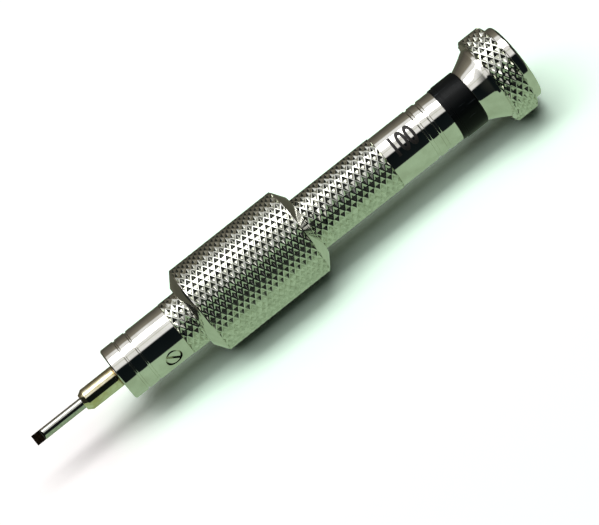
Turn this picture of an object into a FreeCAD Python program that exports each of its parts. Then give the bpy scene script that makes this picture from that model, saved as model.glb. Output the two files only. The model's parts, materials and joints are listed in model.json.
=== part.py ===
import FreeCAD, Part
import math
import os
import re

import Sketcher
from FreeCAD import Placement, Rotation, Vector

# A small preset torque screwdriver with a flat blade, a push-on grip sleeve and a swivel head.
# It lies along X on the grip sleeve and the head's rim: the blade points to -X, the head to +X.
# Every piece is drawn on the tool's axis, by its station: the distance from the blade's tip.
# set_down() then puts the axis at its height above the table, with the tool's middle over the origin.

SIZES = {
    "Blade and holder": {
        "blade_diameter": 2.0,
        "blade_reach": 10.2,  # how far the blade stands out of its holder
        "blade_grip": 4.2,  # how deep the blade sits in its holder
        "blade_flat_length": 1.7,
        "blade_tip_thickness": 0.4,
        "blade_root_thickness": 0.8,
        "blade_runout": 0.3,  # length of the step from the flat to the round shank
        "blade_turn": 48.0,  # degrees that the flat's face is turned from the top to the front
        "holder_diameter": 4.0,
        "holder_reach": 7.4,  # how far the holder stands out of the nose
        "holder_gap": 0.1,  # between the holder and the nose face
        "holder_chamfer_length": 0.9,
        "holder_front_diameter": 2.9,
    },
    "Barrel": {
        "barrel_length": 74.3,  # from the nose to the end of the ring's seat
        "barrel_diameter": 10.0,
        "barrel_bore": 7.4,
        "rear_diameter": 9.9,
        "nose_length": 12.4,  # smooth, from the nose face to the knurl
        "knurl_diameter": 10.2,
        "knurl_length": 44.6,
        "knurl_bevel": 0.25,
        "edge_break": 0.25,
        "groove_width": 0.5,
        "groove_depth": 0.18,
        "first_groove": 2.6,  # the nose grooves, from the nose face
        "second_groove": 4.95,
        "third_groove": 5.3,  # the rear grooves, from the ring's front face
        "fourth_groove": 3.3,
        "rear_groove_width": 0.7,
    },
    "Front bush and nose screw": {
        "bush_diameter": 6.4,
        "bush_recess": 0.1,  # how far the bush sits behind the nose face
        "bush_mouth": 0.3,
        "nose_screw_diameter": 3.0,
        "nose_screw_place": 3.25,  # from the start of the knurl
        "nose_screw_turn": 94.0,  # degrees from the top to the front
        "nose_screw_depth": 0.22,  # how far the screw's face lies below the barrel's crown
        "nose_screw_slot_width": 0.45,
        "nose_screw_slot_depth": 0.5,
        "nose_screw_slot_turn": 55.0,
        "dog_diameter": 1.6,
        "dog_depth": 0.6,  # how deep the screw's dog reaches into the bush
    },
    "Slip clutch": {
        "spigot_diameter": 2.4,
        "spindle_diameter": 3.6,
        "race_diameter": 7.2,
        "race_thickness": 0.7,
        "bearing_bore": 4.34,
        "roller_diameter": 1.0,
        "roller_length": 0.9,
        "roller_circle": 5.7,
        "cage_thickness": 0.4,
        "flange_thickness": 1.5,
        "tail_diameter": 2.6,
        "tail_length": 1.7,
        "friction_disc_thickness": 0.8,
        "pressure_plate_thickness": 3.6,
        "spring_boss_length": 1.4,
        "drive_pin_diameter": 1.5,
        "drive_pin_length": 9.3,
        "drive_pin_place": 2.3,  # from the pressure plate's front face
        "drive_slot_length": 2.8,
    },
    "Torque spring and its adjuster": {
        "spring_outer_diameter": 6.4,
        "spring_wire_width": 0.9,  # across, from the axis outwards
        "spring_wire_height": 1.2,  # along the axis
        "spring_turns": 7.0,
        "spring_seat_thickness": 2.0,
        "spring_seat_boss": 1.5,
        "adjuster_length": 5.0,
        "adjuster_nose_diameter": 3.0,
        "adjuster_nose_length": 1.0,
        "key_across_flats": 2.0,
        "key_depth": 3.0,
        "lock_ring_thickness": 1.8,
        "lock_ring_bore": 4.4,
        "lock_ring_slot_width": 0.9,
        "lock_ring_slot_depth": 0.6,
        "adjuster_room": 3.4,  # free length behind the lock ring
    },
    "Identification ring and end plug": {
        "ring_length": 5.1,
        "ring_diameter": 10.4,
        "ring_bore": 9.04,
        "ring_bevel": 0.1,
        "ring_step_length": 0.9,  # the ring's front end is a little smaller
        "ring_step_height": 0.12,
        "plug_grip": 6.4,  # the length that screws into the barrel
        "plug_flange_diameter": 9.5,
        "plug_flange_thickness": 0.7,
        "plug_key_bore": 2.6,
        "journal_diameter": 5.0,
        "circlip_groove_diameter": 4.4,
    },
    "Swivel head": {
        "flare_front_diameter": 9.9,
        "flare_rear_diameter": 13.7,
        "flare_length": 3.5,
        "flare_land": 0.5,
        "rim_diameter": 16.7,
        "rim_length": 4.4,
        "rim_chamfer_length": 0.4,
        "rim_chamfer_depth": 0.4,
        "head_web": 4.4,  # the length of the head's bearing
        "head_recess_diameter": 9.4,
        "cap_diameter": 14.2,
        "cap_thickness": 1.6,
        "cap_round": 0.5,  # the rounding's size, drawn as two bevels
        "cap_spigot_length": 1.5,
        "washer_thickness": 0.5,
        "washer_diameter": 8.6,
        "circlip_thickness": 0.5,
        "circlip_diameter": 6.8,
        "circlip_gap": 1.0,
        "circlip_ear_width": 3.4,
        "circlip_ear_height": 4.3,  # from the axis to the ears' ends
        "circlip_eye_diameter": 0.7,
        "journal_tail": 0.3,  # the journal's length behind the circlip
    },
    "Grip sleeve": {
        "sleeve_place": 3.3,  # from the start of the barrel's knurl
        "sleeve_length": 24.6,
        "sleeve_diameter": 16.7,
        "sleeve_face_diameter": 11.8,
        "sleeve_chamfer_length": 1.7,
    },
    "Fits": {
        "close_clearance": 0.02,  # radial, or end to end, between pieces that don't turn
        "running_clearance": 0.03,  # radial, on journals
        "cage_clearance": 0.04,  # round each roller
        "end_play": 0.05,
    },
}

ROLLER_COUNT = 8

# Stations along the axis, from the blade's tip, each worked out from the sizes.
STATIONS = {
    "holder_front": "blade_reach",
    "blade_end": "blade_reach + blade_grip",
    "nose_face": "holder_front + holder_reach",
    "holder_end": "nose_face - holder_gap",
    "spigot_front": "blade_end + 2 * end_play",
    "knurl_front": "nose_face + nose_length",
    "knurl_rear": "knurl_front + knurl_length",
    "shoulder": "knurl_front + end_play",
    "nose_screw_station": "knurl_front - nose_screw_place",
    "race_front": "shoulder + close_clearance",
    "race_rear": "race_front + race_thickness",
    "roller_station": "race_rear + close_clearance + roller_diameter / 2",
    "flange_front": "roller_station + roller_diameter / 2 + close_clearance",
    "flange_rear": "flange_front + flange_thickness",
    "disc_front": "flange_rear + close_clearance",
    "plate_front": "disc_front + friction_disc_thickness",
    "drive_pin_station": "plate_front + drive_pin_place",
    "plate_rear": "plate_front + pressure_plate_thickness",
    "barrel_end": "nose_face + barrel_length",
    "flange_face": "barrel_end + close_clearance",
    "head_stop": "flange_face + plug_flange_thickness",
    "ring_front": "head_stop - ring_length",
    "plug_front": "barrel_end - plug_grip",
    "lock_ring_rear": "plug_front - adjuster_room",
    "lock_ring_front": "lock_ring_rear - lock_ring_thickness",
    "adjuster_rear": "lock_ring_front - close_clearance",
    "adjuster_front": "adjuster_rear - adjuster_length",
    "adjuster_nose": "adjuster_front - adjuster_nose_length",
    "seat_rear": "adjuster_nose - close_clearance",
    "seat_front": "seat_rear - spring_seat_thickness",
    "spring_length": "seat_front - plate_rear",
    "head_front": "head_stop + end_play",
    "flare_end": "head_front + flare_length",
    "rim_front": "flare_end + flare_land",
    "rim_rear": "rim_front + rim_length",
    "recess_floor": "head_front + head_web",
    "washer_front": "recess_floor + end_play",
    "washer_rear": "washer_front + washer_thickness",
    "circlip_front": "washer_rear + end_play",
    "circlip_rear": "circlip_front + circlip_thickness",
    "journal_end": "circlip_rear + journal_tail",
    "overall_length": "rim_rear + cap_thickness",
    "sleeve_front": "knurl_front + sleeve_place",
    "sleeve_rear": "sleeve_front + sleeve_length",
    "axis_height": "max(sleeve_diameter; rim_diameter) / 2",
}

doc = FreeCAD.newDocument("TorqueScrewdriver")


def add_sheets():
    """Puts the sizes in one sheet, as plain numbers, and the stations in a second, as formulas."""
    sizes = doc.addObject("Spreadsheet::Sheet", "Sizes")
    row = 1
    for group, cells in SIZES.items():
        sizes.set("A%d" % row, group)
        row += 1
        for name, number in cells.items():
            sizes.set("A%d" % row, name)
            sizes.set("B%d" % row, str(number))
            sizes.setAlias("B%d" % row, name)
            row += 1
    doc.recompute()
    stations = doc.addObject("Spreadsheet::Sheet", "Stations")
    for row, (name, formula) in enumerate(STATIONS.items(), start=1):
        stations.set("A%d" % row, name)
        stations.set("B%d" % row, "=" + bound(formula))
        stations.setAlias("B%d" % row, name)
        doc.recompute()


def bound(formula):
    """The formula with each size and station written as a cell of its sheet."""

    def cell(word):
        name = word.group(0)
        if name in STATIONS:
            return "Stations." + name
        if any(name in cells for cells in SIZES.values()):
            return "Sizes." + name
        return name

    return re.sub(r"[a-z_]+", cell, str(formula))


def number(formula):
    """What a formula comes to now."""
    return float(doc.Sizes.evalExpression(bound(formula)))


def set_down(piece, station="0", raised="0", forward="0"):
    """Places a piece from the tool's axis into the row frame."""
    piece.setExpression("Placement.Base.x", bound("%s - overall_length / 2" % station))
    piece.setExpression("Placement.Base.y", bound("-(%s)" % forward))
    piece.setExpression("Placement.Base.z", bound("axis_height + (%s)" % raised))
    return piece


def sketch_on(body, name, role, turn=None, offset=None):
    """A sketch on one of the body's own planes, turned about X and then moved along its normal."""
    sketch = body.newObject("Sketcher::SketchObject", name)
    plane = [f for f in body.Origin.OriginFeatures if f.Role == role][0]
    sketch.AttachmentSupport = (plane, [""])
    sketch.MapMode = "FlatFace"
    if turn is not None:
        sketch.AttachmentOffset = Placement(Vector(), Rotation(Vector(1, 0, 0), number(turn)))
        sketch.setExpression("AttachmentOffset.Rotation.Angle", bound(turn))
    if offset is not None and turn is None:
        sketch.setExpression("AttachmentOffset.Base.z", bound(offset))
    elif offset is not None:
        for side, share in (("y", "-sin"), ("z", "cos")):
            formula = "(%s) * %s(%s * 1deg)" % (offset, share, turn)
            sketch.setExpression("AttachmentOffset.Base." + side, bound(formula))
    return sketch


def pin_point(sketch, line, end, across, up):
    """Holds one end of a line, or a circle's centre, at two formulas from the sketch's origin."""
    for kind, formula, axis in (("DistanceX", across, -2), ("DistanceY", up, -1)):
        if number(formula) == 0:
            sketch.addConstraint(Sketcher.Constraint("PointOnObject", line, end, axis))
            continue
        index = sketch.addConstraint(
            Sketcher.Constraint(kind, -1, 1, line, end, number(formula))
        )
        sketch.setExpression("Constraints[%d]" % index, bound(formula))


def draw_outline(sketch, corners):
    """Draws a closed outline through corners, each a pair of formulas."""
    points = [Vector(number(across), number(up), 0) for across, up in corners]
    lines = [
        sketch.addGeometry(Part.LineSegment(point, points[(i + 1) % len(points)]))
        for i, point in enumerate(points)
    ]
    for i, line in enumerate(lines):
        following = lines[(i + 1) % len(lines)]
        sketch.addConstraint(Sketcher.Constraint("Coincident", line, 2, following, 1))
    for line, (across, up) in zip(lines, corners):
        pin_point(sketch, line, 1, across, up)
    return sketch


def draw_circle(sketch, across, up, diameter):
    """Draws a circle round a centre, with its diameter as a formula."""
    centre = Vector(number(across), number(up), 0)
    circle = Part.Circle(centre, Vector(0, 0, 1), number(diameter) / 2)
    index = sketch.addGeometry(circle)
    pin_point(sketch, index, 3, across, up)
    size = sketch.addConstraint(Sketcher.Constraint("Diameter", index, number(diameter)))
    sketch.setExpression("Constraints[%d]" % size, bound(diameter))
    return sketch


def rectangle(low_across, high_across, low_up, high_up):
    return [
        (low_across, low_up),
        (high_across, low_up),
        (high_across, high_up),
        (low_across, high_up),
    ]


def turned(label, outline, plane="XY_Plane", axis="H_Axis"):
    """A turned piece: the outline of (station, radius) pairs, revolved about the tool's axis."""
    body = doc.addObject("PartDesign::Body", label)
    body.Label = label
    sketch = draw_outline(sketch_on(body, label + "_section", plane), outline)
    turn = body.newObject("PartDesign::Revolution", label + "_turn")
    turn.Profile = sketch
    turn.ReferenceAxis = (sketch, [axis])
    turn.Angle = 360
    sketch.Visibility = False
    doc.recompute()
    return set_down(body)


def must_cut(body, feature):
    """Stops the build where a cut takes nothing off."""
    before = body.Shape.Volume
    doc.recompute()
    if body.Shape.Volume > before - 1e-6:
        raise RuntimeError("%s cuts nothing" % feature.Label)
    return feature


def groove(body, name, outline):
    """Turns a groove of the given section into a body."""
    feature = body.newObject("PartDesign::Groove", name)
    feature.Profile = draw_outline(sketch_on(body, name + "_section", "XY_Plane"), outline)
    feature.ReferenceAxis = (feature.Profile[0], ["H_Axis"])
    feature.Angle = 360
    return must_cut(body, feature)


def pocket(body, name, sketch, depth=None, outward=False, both_ways=False):
    """Cuts a sketch out of a body: to a depth, or through all that lies on its side."""
    feature = body.newObject("PartDesign::Pocket", name)
    feature.Profile = sketch
    if depth is None:
        feature.Type = "ThroughAll"
    else:
        feature.setExpression("Length", bound(depth))
    feature.Reversed = outward
    feature.Midplane = both_ways
    return must_cut(body, feature)


def make_blade():
    blade = turned("blade", [
        ("0", "0"),
        ("0", "blade_diameter / 2"),
        ("blade_end", "blade_diameter / 2"),
        ("blade_end", "0"),
    ])
    # Two wedges ground off leave the flat, each ending in a steep step to the round shank.
    for side, sign in (("upper", ""), ("lower", "-")):
        wedge = sketch_on(blade, "blade_%s_wedge" % side, "XZ_Plane", "blade_turn")
        draw_outline(wedge, [
            ("0", sign + "blade_tip_thickness / 2"),
            ("blade_flat_length", sign + "blade_root_thickness / 2"),
            ("blade_flat_length + blade_runout", sign + "blade_diameter / 2"),
            ("0", sign + "blade_diameter / 2"),
        ])
        pocket(blade, "blade_%s_grind" % side, wedge, both_ways=True)


def make_bit_holder():
    turned("bit_holder", [
        ("holder_front", "blade_diameter / 2 + close_clearance"),
        ("holder_front", "holder_front_diameter / 2"),
        ("holder_front + holder_chamfer_length", "holder_diameter / 2"),
        ("holder_end", "holder_diameter / 2"),
        ("holder_end", "spigot_diameter / 2 + close_clearance"),
        ("blade_end + end_play", "spigot_diameter / 2 + close_clearance"),
        ("blade_end + end_play", "blade_diameter / 2 + close_clearance"),
    ])


def make_spindle():
    turned("spindle", [
        ("spigot_front", "0"),
        ("spigot_front", "spigot_diameter / 2"),
        ("holder_end", "spigot_diameter / 2"),
        ("holder_end", "spindle_diameter / 2"),
        ("flange_front", "spindle_diameter / 2"),
        ("flange_front", "race_diameter / 2"),
        ("flange_rear", "race_diameter / 2"),
        ("flange_rear", "tail_diameter / 2"),
        ("flange_rear + tail_length", "tail_diameter / 2"),
        ("flange_rear + tail_length", "0"),
    ])


def make_front_bush():
    bore = "spindle_diameter / 2 + running_clearance"
    bush = turned("front_bush", [
        ("nose_face + bush_recess", bore + " + bush_mouth"),
        ("nose_face + bush_recess", "bush_diameter / 2"),
        ("shoulder", "bush_diameter / 2"),
        ("shoulder", bore),
        ("nose_face + bush_recess + bush_mouth", bore),
    ])
    seat = sketch_on(bush, "dog_seat", "XY_Plane", "nose_screw_turn",
                     "bush_diameter / 2 - dog_depth - end_play")
    draw_circle(seat, "nose_screw_station", "0", "dog_diameter + 2 * close_clearance")
    pocket(bush, "dog_hole", seat, outward=True)


def make_barrel():
    bore = "barrel_bore / 2"
    barrel = turned("barrel", [
        ("nose_face", "bush_diameter / 2 + close_clearance"),
        ("nose_face", "barrel_diameter / 2 - edge_break"),
        ("nose_face + edge_break", "barrel_diameter / 2"),
        ("knurl_front", "barrel_diameter / 2"),
        ("knurl_front + knurl_bevel", "knurl_diameter / 2"),
        ("knurl_rear - knurl_bevel", "knurl_diameter / 2"),
        ("knurl_rear", "rear_diameter / 2"),
        ("ring_front - close_clearance", "rear_diameter / 2"),
        ("ring_front - close_clearance", "ring_bore / 2 - close_clearance"),
        ("barrel_end", "ring_bore / 2 - close_clearance"),
        ("barrel_end", bore),
        ("shoulder", bore),
        ("shoulder", "bush_diameter / 2 + close_clearance"),
    ])
    grooves = (
        ("first", "nose_face + first_groove", "groove_width", "barrel_diameter"),
        ("second", "nose_face + second_groove", "groove_width", "barrel_diameter"),
        ("third", "ring_front - third_groove", "rear_groove_width", "rear_diameter"),
        ("fourth", "ring_front - fourth_groove", "rear_groove_width", "rear_diameter"),
    )
    for order, start, width, diameter in grooves:
        groove(barrel, order + "_groove_cut", rectangle(
            start,
            "%s + %s" % (start, width),
            "%s / 2 - groove_depth" % diameter,
            "knurl_diameter",
        ))
    hole = sketch_on(barrel, "nose_screw_hole", "XY_Plane", "nose_screw_turn")
    draw_circle(hole, "nose_screw_station", "0", "nose_screw_diameter + 2 * close_clearance")
    pocket(barrel, "nose_screw_bore", hole, outward=True)
    slot = sketch_on(barrel, "drive_slot", "XY_Plane")
    draw_outline(slot, rectangle(
        "drive_pin_station - drive_slot_length / 2",
        "drive_pin_station + drive_slot_length / 2",
        "-(drive_pin_diameter / 2 + close_clearance)",
        "drive_pin_diameter / 2 + close_clearance",
    ))
    pocket(barrel, "drive_slots", slot, both_ways=True)


def make_nose_screw():
    """The slotted dog screw that holds the bush, drawn upright from its dog's end."""
    foot = "bush_diameter / 2 - dog_depth"
    shank = "dog_depth + close_clearance + end_play"
    top = "barrel_diameter / 2 - nose_screw_depth - (%s)" % foot
    screw = turned("nose_screw", [
        ("0", "0"),
        ("dog_diameter / 2", "0"),
        ("dog_diameter / 2", shank),
        ("nose_screw_diameter / 2", shank),
        ("nose_screw_diameter / 2", top),
        ("0", top),
    ], "XZ_Plane", "V_Axis")
    slot = sketch_on(screw, "screw_slot", "XY_Plane", offset=top)
    slot.AttachmentOffset = Placement(Vector(), Rotation(Vector(0, 0, 1), 0))
    slot.setExpression("AttachmentOffset.Rotation.Angle", bound("nose_screw_slot_turn"))
    draw_outline(slot, rectangle(
        "-nose_screw_diameter",
        "nose_screw_diameter",
        "-nose_screw_slot_width / 2",
        "nose_screw_slot_width / 2",
    ))
    pocket(screw, "screw_slot_cut", slot, "nose_screw_slot_depth")
    screw.Placement.Rotation = Rotation(Vector(1, 0, 0), number("nose_screw_turn"))
    screw.setExpression("Placement.Rotation.Angle", bound("nose_screw_turn"))
    set_down(
        screw,
        "nose_screw_station",
        "(%s) * cos(nose_screw_turn * 1deg)" % foot,
        "(%s) * sin(nose_screw_turn * 1deg)" % foot,
    )


def make_thrust_bearing():
    """A washer race, a cage and its radial rollers, which run against the spindle's flange."""
    inner, outer = "bearing_bore / 2", "race_diameter / 2"
    turned("thrust_race", rectangle("race_front", "race_rear", inner, outer))
    cage_front = "roller_station - cage_thickness / 2"
    cage_rear = "roller_station + cage_thickness / 2"
    cage = turned("thrust_cage", rectangle(cage_front, cage_rear, inner, outer))
    side = "(roller_diameter / 2 + cage_clearance)"
    reach = "(roller_length / 2 + cage_clearance)"
    window = sketch_on(cage, "cage_window_outline", "YZ_Plane", offset=cage_rear)
    draw_outline(window, rectangle(
        "-" + side, side, "roller_circle / 2 - " + reach, "roller_circle / 2 + " + reach,
    ))
    first = pocket(cage, "cage_first_window", window)
    ring = cage.newObject("PartDesign::PolarPattern", "cage_windows")
    ring.Originals = [first]
    ring.Axis = (cage.Origin.OriginFeatures[0], [""])
    ring.Angle = 360
    ring.Occurrences = ROLLER_COUNT
    cage.Tip = ring
    must_cut(cage, ring)
    rollers = []
    for i in range(ROLLER_COUNT):
        turn = 360 * i / ROLLER_COUNT
        roller = doc.addObject("Part::Cylinder", "roller_%d" % (i + 1))
        roller.setExpression("Radius", bound("roller_diameter / 2"))
        roller.setExpression("Height", bound("roller_length"))
        roller.Placement = Placement(Vector(), Rotation(Vector(1, 0, 0), turn))
        inner_end = "(roller_circle - roller_length) / 2"
        roller.setExpression("Placement.Base.y", bound("-%s * sin(%fdeg)" % (inner_end, turn)))
        roller.setExpression("Placement.Base.z", bound("%s * cos(%fdeg)" % (inner_end, turn)))
        rollers.append(roller)
    group = doc.addObject("Part::Compound", "thrust_rollers")
    group.Label = "thrust_rollers"
    group.Links = rollers
    set_down(group, "roller_station")


def make_friction_drive():
    """The friction disc, and the pressure plate that a cross pin keys to the barrel."""
    tail_bore = "tail_diameter / 2 + 2 * running_clearance"
    turned("friction_disc", rectangle(
        "disc_front", "plate_front - close_clearance", tail_bore, "race_diameter / 2",
    ))
    boss = "spring_outer_diameter / 2 - spring_wire_width - 4 * close_clearance"
    tail_end = "flange_rear + tail_length + end_play"
    plate = turned("pressure_plate", [
        ("plate_front", tail_bore),
        ("plate_front", "barrel_bore / 2 - close_clearance"),
        ("plate_rear", "barrel_bore / 2 - close_clearance"),
        ("plate_rear", boss),
        ("plate_rear + spring_boss_length", boss),
        ("plate_rear + spring_boss_length", "0"),
        (tail_end, "0"),
        (tail_end, tail_bore),
    ])
    hole = sketch_on(plate, "drive_pin_hole", "XY_Plane")
    draw_circle(hole, "drive_pin_station", "0", "drive_pin_diameter + 2 * close_clearance")
    pocket(plate, "drive_pin_bore", hole, both_ways=True)
    pin = turned("drive_pin", rectangle(
        "0", "drive_pin_diameter / 2", "-drive_pin_length / 2", "drive_pin_length / 2",
    ), "XZ_Plane", "V_Axis")
    set_down(pin, "drive_pin_station")


def make_torque_spring():
    """A compression spring of flat wire, wound with even turns and ground flat at both ends."""
    mean_radius = "(spring_outer_diameter - spring_wire_width) / 2"
    path = doc.addObject("Part::Helix", "spring_path")
    path.setExpression("Pitch", bound("spring_length / spring_turns"))
    path.setExpression("Height", bound("spring_length"))
    path.setExpression("Radius", bound(mean_radius))
    wire = doc.addObject("Part::Plane", "spring_wire_section")
    wire.setExpression("Length", bound("spring_wire_width"))
    wire.setExpression("Width", bound("spring_wire_height"))
    wire.Placement = Placement(Vector(), Rotation(Vector(1, 0, 0), 90))
    wire.setExpression("Placement.Base.x", bound(mean_radius + " - spring_wire_width / 2"))
    wire.setExpression("Placement.Base.z", bound("-spring_wire_height / 2"))
    doc.recompute()
    coil = doc.addObject("Part::Sweep", "spring_coil")
    coil.Sections = [wire]
    coil.Spine = (path, ["Edge%d" % (i + 1) for i in range(len(path.Shape.Edges))])
    coil.Solid = True
    coil.Frenet = True
    room = doc.addObject("Part::Cylinder", "spring_room")
    room.setExpression("Radius", bound("spring_outer_diameter"))
    room.setExpression("Height", bound("spring_length"))
    spring = doc.addObject("Part::Common", "torque_spring")
    spring.Label = "torque_spring"
    spring.Base = coil
    spring.Tool = room
    spring.Placement = Placement(Vector(), Rotation(Vector(0, 1, 0), 90))
    set_down(spring, "plate_rear")


def make_adjuster():
    """The spring seat, the socketed adjusting screw behind it and the slotted ring that locks it."""
    fit = "barrel_bore / 2 - close_clearance"
    boss = "spring_outer_diameter / 2 - spring_wire_width - 4 * close_clearance"
    turned("spring_seat", [
        ("seat_front - spring_seat_boss", "0"),
        ("seat_front - spring_seat_boss", boss),
        ("seat_front", boss),
        ("seat_front", fit),
        ("seat_rear", fit),
        ("seat_rear", "0"),
    ])
    screw = turned("adjusting_screw", [
        ("adjuster_nose", "0"),
        ("adjuster_nose", "adjuster_nose_diameter / 2"),
        ("adjuster_front", "adjuster_nose_diameter / 2"),
        ("adjuster_front", fit),
        ("adjuster_rear", fit),
        ("adjuster_rear", "0"),
    ])
    socket = sketch_on(screw, "key_socket", "YZ_Plane", offset="adjuster_rear")
    draw_outline(socket, [
        ("key_across_flats / 2 / cos(30deg) * cos(%d * 60deg)" % i,
         "key_across_flats / 2 / cos(30deg) * sin(%d * 60deg)" % i)
        for i in range(6)
    ])
    pocket(screw, "key_socket_cut", socket, "key_depth")
    lock = turned("lock_ring", rectangle(
        "lock_ring_front", "lock_ring_rear", "lock_ring_bore / 2", fit,
    ))
    slot = sketch_on(lock, "lock_ring_slot", "YZ_Plane", offset="lock_ring_rear")
    draw_outline(slot, rectangle(
        "-barrel_bore", "barrel_bore", "-lock_ring_slot_width / 2", "lock_ring_slot_width / 2",
    ))
    pocket(lock, "lock_ring_slot_cut", slot, "lock_ring_slot_depth")


def make_ring_and_plug():
    """The identification ring, clamped between the barrel's step and the end plug's flange."""
    ring = "ring_diameter / 2"
    turned("identification_ring", [
        ("ring_front", "ring_bore / 2"),
        ("ring_front", ring + " - ring_step_height - ring_bevel"),
        ("ring_front + ring_bevel", ring + " - ring_step_height"),
        ("ring_front + ring_step_length", ring + " - ring_step_height"),
        ("ring_front + ring_step_length", ring),
        ("head_stop - ring_bevel", ring),
        ("head_stop", ring + " - ring_bevel"),
        ("head_stop", "plug_flange_diameter / 2 + close_clearance"),
        ("barrel_end", "plug_flange_diameter / 2 + close_clearance"),
        ("barrel_end", "ring_bore / 2"),
    ])
    journal = "journal_diameter / 2"
    clip = "circlip_groove_diameter / 2"
    turned("end_plug", [
        ("plug_front", "plug_key_bore / 2"),
        ("plug_front", "barrel_bore / 2 - close_clearance - edge_break"),
        ("plug_front + edge_break", "barrel_bore / 2 - close_clearance"),
        ("flange_face", "barrel_bore / 2 - close_clearance"),
        ("flange_face", "plug_flange_diameter / 2"),
        ("head_stop", "plug_flange_diameter / 2"),
        ("head_stop", journal),
        ("circlip_front - close_clearance", journal),
        ("circlip_front - close_clearance", clip),
        ("circlip_rear + close_clearance", clip),
        ("circlip_rear + close_clearance", journal),
        ("journal_end", journal),
        ("journal_end", "plug_key_bore / 2"),
    ])


def make_swivel_head():
    bearing = "journal_diameter / 2 + running_clearance"
    rim = "rim_diameter / 2"
    turned("swivel_head", [
        ("head_front", bearing),
        ("head_front", "flare_front_diameter / 2"),
        ("flare_end", "flare_rear_diameter / 2"),
        ("rim_front", "flare_rear_diameter / 2"),
        ("rim_front", rim + " - rim_chamfer_depth"),
        ("rim_front + rim_chamfer_length", rim),
        ("rim_rear - rim_chamfer_length", rim),
        ("rim_rear", rim + " - rim_chamfer_depth"),
        ("rim_rear", "head_recess_diameter / 2"),
        ("recess_floor", "head_recess_diameter / 2"),
        ("recess_floor", bearing),
    ])
    turned("head_washer", rectangle(
        "washer_front", "washer_rear", bearing, "washer_diameter / 2",
    ))
    turned("end_cap", [
        ("rim_rear - cap_spigot_length", "0"),
        ("rim_rear - cap_spigot_length", "head_recess_diameter / 2 - close_clearance"),
        ("rim_rear + close_clearance", "head_recess_diameter / 2 - close_clearance"),
        ("rim_rear + close_clearance", "cap_diameter / 2"),
        ("overall_length - cap_round", "cap_diameter / 2"),
        ("overall_length - 0.3 * cap_round", "cap_diameter / 2 - 0.3 * cap_round"),
        ("overall_length", "cap_diameter / 2 - cap_round"),
        ("overall_length", "0"),
    ])


def make_circlip():
    """The open ring that keeps the head on the end plug's journal."""
    clip = turned("circlip", rectangle(
        "circlip_front", "circlip_rear",
        "circlip_groove_diameter / 2 + close_clearance", "circlip_diameter / 2",
    ))
    ears = clip.newObject("PartDesign::Pad", "circlip_ears")
    ears.Profile = draw_outline(
        sketch_on(clip, "circlip_ears_outline", "YZ_Plane", offset="circlip_front"),
        rectangle(
            "-circlip_ear_width / 2", "circlip_ear_width / 2",
            "(circlip_groove_diameter + circlip_diameter) / 4", "circlip_ear_height",
        ),
    )
    ears.setExpression("Length", bound("circlip_thickness"))
    doc.recompute()
    gap = sketch_on(clip, "circlip_gap_outline", "YZ_Plane", offset="circlip_rear")
    draw_outline(gap, rectangle("-circlip_gap / 2", "circlip_gap / 2", "0", "2 * circlip_ear_height"))
    pocket(clip, "circlip_gap_cut", gap)
    eye_across = "(circlip_gap + circlip_ear_width) / 4"
    eye_up = "circlip_ear_height - circlip_eye_diameter"
    for side, sign in (("left", "-"), ("right", "")):
        eye = sketch_on(clip, "circlip_%s_eye" % side, "YZ_Plane", offset="circlip_rear")
        draw_circle(eye, sign + eye_across, eye_up, "circlip_eye_diameter")
        pocket(clip, "circlip_%s_eye_hole" % side, eye)


def make_grip_sleeve():
    outer = "sleeve_diameter / 2"
    face = "sleeve_face_diameter / 2"
    bore = "knurl_diameter / 2 + close_clearance"
    turned("grip_sleeve", [
        ("sleeve_front", bore),
        ("sleeve_front", face),
        ("sleeve_front + sleeve_chamfer_length", outer),
        ("sleeve_rear - sleeve_chamfer_length", outer),
        ("sleeve_rear", face),
        ("sleeve_rear", bore),
    ])


NODES = (
    "blade", "bit_holder", "spindle", "front_bush", "nose_screw", "barrel",
    "thrust_race", "thrust_cage", "thrust_rollers", "friction_disc", "pressure_plate", "drive_pin",
    "torque_spring", "spring_seat", "adjusting_screw", "lock_ring",
    "identification_ring", "end_plug", "swivel_head", "head_washer", "circlip", "end_cap",
    "grip_sleeve",
)


def write_steps():
    """Writes one STEP file for each sub-part, once every object in the document is sound."""
    doc.recompute()
    for part in doc.Objects:
        if "Invalid" in part.State or "Error" in part.State:
            raise RuntimeError("%s failed: %s" % (part.Label, part.State))
    shapes = {}
    for label in NODES:
        shape = doc.getObjectsByLabel(label)[0].Shape
        if shape.isNull() or not shape.isValid() or not shape.Solids:
            raise RuntimeError("%s has no sound shape" % label)
        shapes[label] = shape
    os.makedirs("parts", exist_ok=True)
    for label, shape in shapes.items():
        shape.exportStep("parts/%s.step" % label)
        print("%-20s %2d solid(s) %9.2f mm3" % (label, len(shape.Solids), shape.Volume))


add_sheets()
make_blade()
make_bit_holder()
make_spindle()
make_front_bush()
make_barrel()
make_nose_screw()
make_thrust_bearing()
make_friction_drive()
make_torque_spring()
make_adjuster()
make_ring_and_plug()
make_swivel_head()
make_circlip()
make_grip_sleeve()
write_steps()
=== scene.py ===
import json
import math

import bmesh
import bpy
from mathutils import Matrix, Vector


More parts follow.
